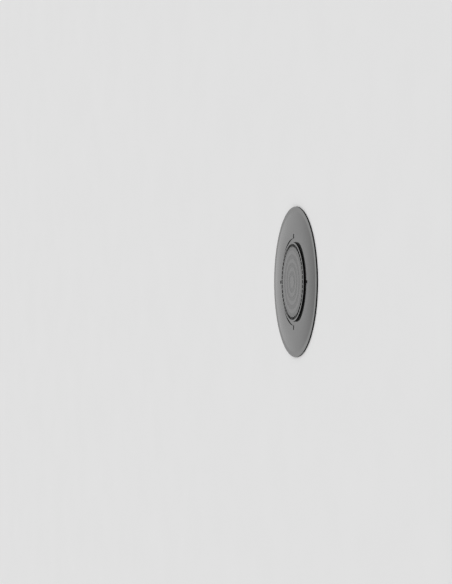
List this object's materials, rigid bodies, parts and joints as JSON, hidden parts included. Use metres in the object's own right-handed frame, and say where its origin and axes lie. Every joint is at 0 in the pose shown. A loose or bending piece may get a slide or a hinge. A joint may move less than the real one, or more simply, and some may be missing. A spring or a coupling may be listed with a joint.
{
  "type": "suction phone patch",
  "caption": "Thin round black patch for a phone's back: a domed sealing face round a grooved, ribbed hub with a steel plate, and an adhesive pad behind.",
  "frame": {"origin": "centre of the adhesive face, on the disc's axis, where the patch meets the phone", "axes": "+Z along the disc's axis, out of the front face; +X and +Y through two neighbouring keying notches"},
  "size_m": [0.062, 0.062, 0.0018],
  "materials": {
    "moulded_body": "black moulded plastic with an even satin gloss",
    "coated_steel": "black coated steel with concentric bands, alternately smooth and matt",
    "tape": "translucent white double-sided film tape",
    "adhesive": "dark grey acrylic foam adhesive"
  },
  "bodies": {
    "root": {"patch_body": "moulded_body", "centre_plate": "coated_steel", "plate_tape": "tape", "adhesive_pad": "adhesive"}
  },
  "joints": []
}
